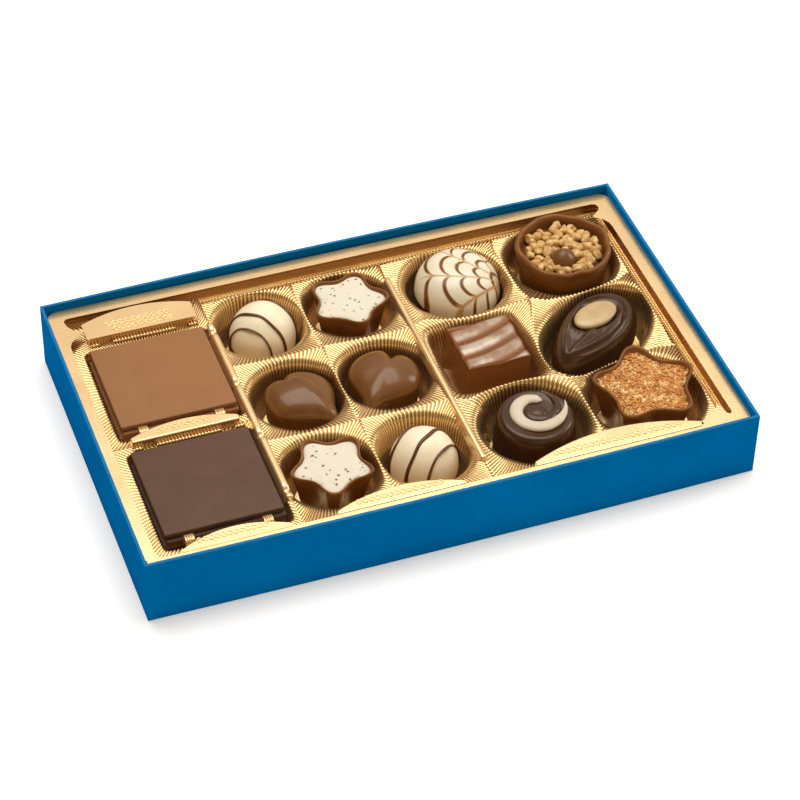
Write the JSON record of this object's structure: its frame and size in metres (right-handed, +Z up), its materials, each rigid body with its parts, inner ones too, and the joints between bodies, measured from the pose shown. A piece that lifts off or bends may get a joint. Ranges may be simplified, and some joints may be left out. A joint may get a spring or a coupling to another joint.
{
  "type": "box of chocolate pralines",
  "caption": "Open blue cardboard box with a gold ribbed tray holding thin milk and dark chocolate squares and assorted moulded pralines.",
  "frame": {"origin": "bottom centre of the box", "axes": "+X along the long side, towards the large pralines; +Y to the back, away from the label plateaus of the front edge; +Z up"},
  "size_m": [0.21, 0.1304, 0.025],
  "materials": {
    "blue_board": "printed blue cardboard with a fine satin coat",
    "gold_film": "thermoformed plastic film with a gold metallised, finely ribbed surface",
    "milk_chocolate": "milk chocolate with a soft satin gloss",
    "dark_chocolate": "dark chocolate with a soft satin gloss",
    "white_chocolate": "white chocolate, satin, with dark poured stripes",
    "white_filling": "white truffle cream with fine brown specks",
    "caramel_crystals": "coarse caramel crystals",
    "roasted_nut": "roasted chopped nuts",
    "pale_nougat": "pale nougat disc, satin"
  },
  "bodies": {
    "root": {"box": "blue_board", "tray": "gold_film", "milk_plate_1": "milk_chocolate", "milk_plate_2": "milk_chocolate", "milk_plate_3": "milk_chocolate", "milk_plate_4": "milk_chocolate", "dark_plate_1": "dark_chocolate", "dark_plate_2": "dark_chocolate", "dark_plate_3": "dark_chocolate", "dark_plate_4": "dark_chocolate", "striped_dome_back": "white_chocolate", "striped_dome_front": "white_chocolate", "star_cup_back": "milk_chocolate", "star_filling_back": "white_filling", "star_cup_front": "milk_chocolate", "star_filling_front": "white_filling", "crystal_star_cup": "milk_chocolate", "crystal_filling": "caramel_crystals", "heart_left": "milk_chocolate", "heart_right": "milk_chocolate", "oval_base": "dark_chocolate", "oval_shell": "white_chocolate", "nut_cup": "milk_chocolate", "nut_crumble": "roasted_nut", "chocolate_drop": "milk_chocolate", "square_praline": "milk_chocolate", "almond_praline": "dark_chocolate", "nut_slice": "pale_nougat", "swirl_praline": "dark_chocolate", "white_swirl": "white_chocolate"}
  },
  "joints": []
}
